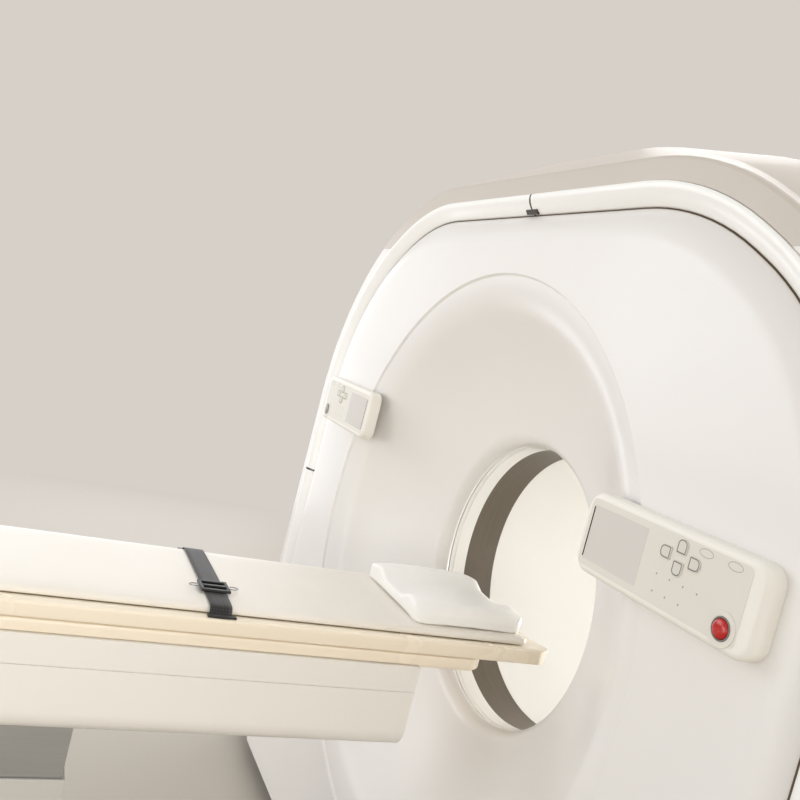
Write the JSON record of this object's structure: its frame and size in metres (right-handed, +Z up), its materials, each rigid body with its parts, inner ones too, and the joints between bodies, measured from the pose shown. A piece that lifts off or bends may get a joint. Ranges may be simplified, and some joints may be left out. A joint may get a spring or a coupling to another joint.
{
  "type": "pet ct scanner",
  "caption": "Combined PET and CT scanner: arched gantry with a dished patient bore, control panels, sliding patient table and a PET ring that rolls back.",
  "frame": {"origin": "on the floor below the centre of the CT scan plane, at the underside of the base frame", "axes": "+X to the right of someone facing the front, +Y along the bore into the machine, +Z up"},
  "size_m": [2.3, 4.6153, 2.131],
  "materials": {
    "frame_steel": "painted weldment",
    "bearing_steel": "ground races",
    "buckle_black": "moulded buckle",
    "motor_black": "motor housing",
    "belt_rubber": "flat belt",
    "cover_white": "satin moulded cover",
    "rim_white": "satin moulded band",
    "laser_glass": "dark window",
    "cap_taupe": "satin moulded cover",
    "side_white": "satin moulded cover",
    "liner_cream": "bore liner",
    "window_dark": "thin beam window",
    "panel_white": "moulded housing",
    "keypad_grey": "printed fascia",
    "display_glass": "display lens",
    "rail_steel": "machined rails",
    "shroud_grey": "telescoping cover",
    "rotor_aluminium": "machined casting",
    "ring_brass": "conductor ring",
    "unit_grey": "boxed unit",
    "stop_red": "emergency stop",
    "crystal": "crystal blocks",
    "deck_aluminium": "extruded deck",
    "table_white": "moulded table cover",
    "pallet_shell": "fibre tabletop skin",
    "pad_vinyl": "coated pad cover",
    "webbing_black": "woven webbing",
    "key_grey": "soft keys"
  },
  "bodies": {
    "gantry": {"base_frame": "frame_steel", "stator_frame": "frame_steel", "main_bearing": "bearing_steel", "brush_block": "buckle_black", "drive_motor": "motor_black", "drive_belt": "belt_rubber", "front_cover": "cover_white", "front_rim": "rim_white", "laser_windows": "laser_glass", "top_cover": "cap_taupe", "side_cover_left": "side_white", "side_cover_right": "side_white", "ct_rear_cover": "side_white", "bore_entry_ring": "liner_cream", "scan_window": "window_dark", "panel_housings": "panel_white", "keypads": "keypad_grey", "panel_displays": "display_glass", "pet_floor_rails": "rail_steel", "table_base": "frame_steel", "lift_outer_shroud": "shroud_grey"},
    "rotor": {"rotor_drum": "rotor_aluminium", "slip_ring": "ring_brass", "x_ray_tube": "unit_grey", "beam_collimator": "unit_grey", "high_voltage_generator": "unit_grey", "tube_cooling_unit": "unit_grey", "ct_detector": "unit_grey"},
    "drive_pulley": {"drive_pulley": "rail_steel"},
    "stop_button_left": {"stop_button_left": "stop_red"},
    "stop_button_right": {"stop_button_right": "stop_red"},
    "pet_gantry": {"pet_carriage": "frame_steel", "pet_detector_frame": "unit_grey", "pet_crystal_modules": "crystal", "pet_front_cover": "side_white", "pet_body_cover": "side_white", "pet_rear_cover": "side_white"},
    "lift_stage": {"lift_middle_shroud": "shroud_grey"},
    "table_deck": {"table_deck": "deck_aluminium", "table_casing": "table_white"},
    "table_carriage": {"table_carriage": "deck_aluminium"},
    "pallet": {"tabletop": "pallet_shell", "mattress": "pad_vinyl", "head_cushion": "pad_vinyl", "restraint_strap": "webbing_black", "strap_hardware": "buckle_black"},
    "key_outer_left": {"key_outer_left": "key_grey"},
    "key_down_left": {"key_down_left": "key_grey"},
    "key_inner_left": {"key_inner_left": "key_grey"},
    "key_up_left": {"key_up_left": "key_grey"},
    "key_outer_right": {"key_outer_right": "key_grey"},
    "key_down_right": {"key_down_right": "key_grey"},
    "key_inner_right": {"key_inner_right": "key_grey"},
    "key_up_right": {"key_up_right": "key_grey"}
  },
  "joints": [
    {"name": "rotor_spin", "type": "hinge", "parent": "gantry", "child": "rotor", "pos_m": [0, 0.175, 1.04], "axis": [0, 1, 0], "continuous": true},
    {"name": "pulley_spin", "type": "hinge", "parent": "gantry", "child": "drive_pulley", "pos_m": [0.6364, 0.13, 0.4036], "axis": [0, 1, 0], "continuous": true},
    {"name": "tabletop_slide", "type": "slide", "parent": "table_deck", "child": "pallet", "axis": [0, 1, 0], "range_m": [-0.35, 1.7]},
    {"name": "carriage_slide", "type": "slide", "parent": "table_deck", "child": "table_carriage", "axis": [0, 1, 0], "range_m": [-0.175, 0.85]},
    {"name": "table_lift", "type": "slide", "parent": "gantry", "child": "table_deck", "axis": [0, 0, 1], "range_m": [-0.12, 0.04]},
    {"name": "lift_stage_slide", "type": "slide", "parent": "gantry", "child": "lift_stage", "axis": [0, 0, 1], "range_m": [-0.06, 0.02]},
    {"name": "pet_slide", "type": "slide", "parent": "gantry", "child": "pet_gantry", "axis": [0, 1, 0], "range_m": [0, 0.3]},
    {"name": "stop_press_left", "type": "slide", "parent": "gantry", "child": "stop_button_left", "axis": [0, 1, 0], "range_m": [0, 0.004], "stiffness_N_per_m": 2500, "springref_m": -0.002},
    {"name": "stop_press_right", "type": "slide", "parent": "gantry", "child": "stop_button_right", "axis": [0, 1, 0], "range_m": [0, 0.004], "stiffness_N_per_m": 2500, "springref_m": -0.002},
    {"name": "press_outer_left", "type": "slide", "parent": "gantry", "child": "key_outer_left", "axis": [0, 1, 0], "range_m": [0, 0.0012], "stiffness_N_per_m": 1500, "springref_m": -0.0008},
    {"name": "press_down_left", "type": "slide", "parent": "gantry", "child": "key_down_left", "axis": [0, 1, 0], "range_m": [0, 0.0012], "stiffness_N_per_m": 1500, "springref_m": -0.0008},
    {"name": "press_inner_left", "type": "slide", "parent": "gantry", "child": "key_inner_left", "axis": [0, 1, 0], "range_m": [0, 0.0012], "stiffness_N_per_m": 1500, "springref_m": -0.0008},
    {"name": "press_up_left", "type": "slide", "parent": "gantry", "child": "key_up_left", "axis": [0, 1, 0], "range_m": [0, 0.0012], "stiffness_N_per_m": 1500, "springref_m": -0.0008},
    {"name": "press_outer_right", "type": "slide", "parent": "gantry", "child": "key_outer_right", "axis": [0, 1, 0], "range_m": [0, 0.0012], "stiffness_N_per_m": 1500, "springref_m": -0.0008},
    {"name": "press_down_right", "type": "slide", "parent": "gantry", "child": "key_down_right", "axis": [0, 1, 0], "range_m": [0, 0.0012], "stiffness_N_per_m": 1500, "springref_m": -0.0008},
    {"name": "press_inner_right", "type": "slide", "parent": "gantry", "child": "key_inner_right", "axis": [0, 1, 0], "range_m": [0, 0.0012], "stiffness_N_per_m": 1500, "springref_m": -0.0008},
    {"name": "press_up_right", "type": "slide", "parent": "gantry", "child": "key_up_right", "axis": [0, 1, 0], "range_m": [0, 0.0012], "stiffness_N_per_m": 1500, "springref_m": -0.0008}
  ],
  "couplings": [
    {"joint": "pulley_spin", "follows": "rotor_spin", "ratio": 13},
    {"joint": "carriage_slide", "follows": "tabletop_slide", "ratio": 0.5},
    {"joint": "lift_stage_slide", "follows": "table_lift", "ratio": 0.5}
  ]
}
